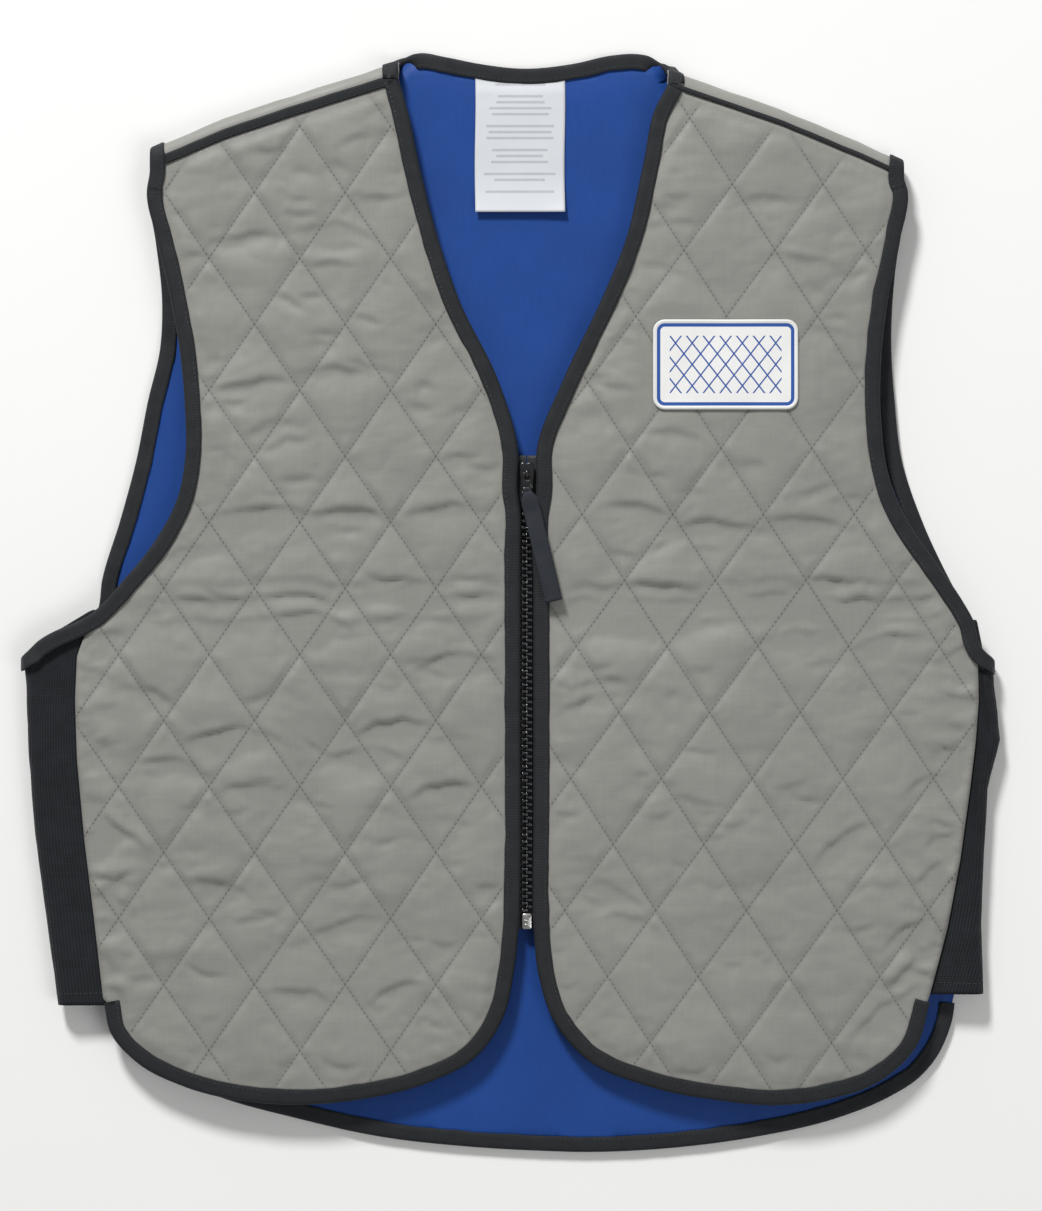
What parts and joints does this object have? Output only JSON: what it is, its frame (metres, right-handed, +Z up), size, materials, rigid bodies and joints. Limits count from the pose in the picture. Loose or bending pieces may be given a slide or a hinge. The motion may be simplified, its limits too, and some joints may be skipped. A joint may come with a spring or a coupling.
{
  "type": "quilted cooling vest",
  "caption": "Sleeveless quilted cooling vest lying flat on its back, with a front zipper, bound edges, elastic side panels and a blue lining.",
  "frame": {"origin": "middle of the vest's plan box, on the surface it lies on", "axes": "+X to the right as seen from the front, +Y from the hem to the neck, +Z up out of the front"},
  "size_m": [0.5878, 0.6626, 0.0228],
  "materials": {
    "shell": "woven nylon with a soft sheen",
    "lining": "smooth woven",
    "knit": "matte knit",
    "binding": "matte woven tape",
    "teeth": "satin moulded",
    "metal": "satin",
    "label": "matte printed cloth"
  },
  "bodies": {
    "vest": {"back_panel": "shell", "back_lining": "lining", "front_panel_left": "shell", "front_panel_right": "shell", "side_panel_left": "knit", "side_panel_right": "knit", "shoulder_tape_left": "binding", "shoulder_tape_right": "binding", "front_binding_left": "binding", "front_binding_right": "binding", "armhole_binding_left": "binding", "armhole_binding_right": "binding", "neck_binding": "binding", "hem_binding": "binding", "zipper_tape_left": "binding", "zipper_tape_right": "binding", "zipper_teeth_left": "teeth", "zipper_teeth_right": "teeth", "zipper_box": "metal", "zipper_slider": "metal", "neck_label": "label", "chest_patch": "label"},
    "puller": {"zipper_puller": "metal", "pull_tab": "binding"}
  },
  "joints": [
    {"name": "puller_hinge", "type": "hinge", "parent": "vest", "child": "puller", "pos_m": [0.01052, 0.07716, 0.01766], "axis": [-1, 0, 0], "range_deg": [0, 150]}
  ]
}
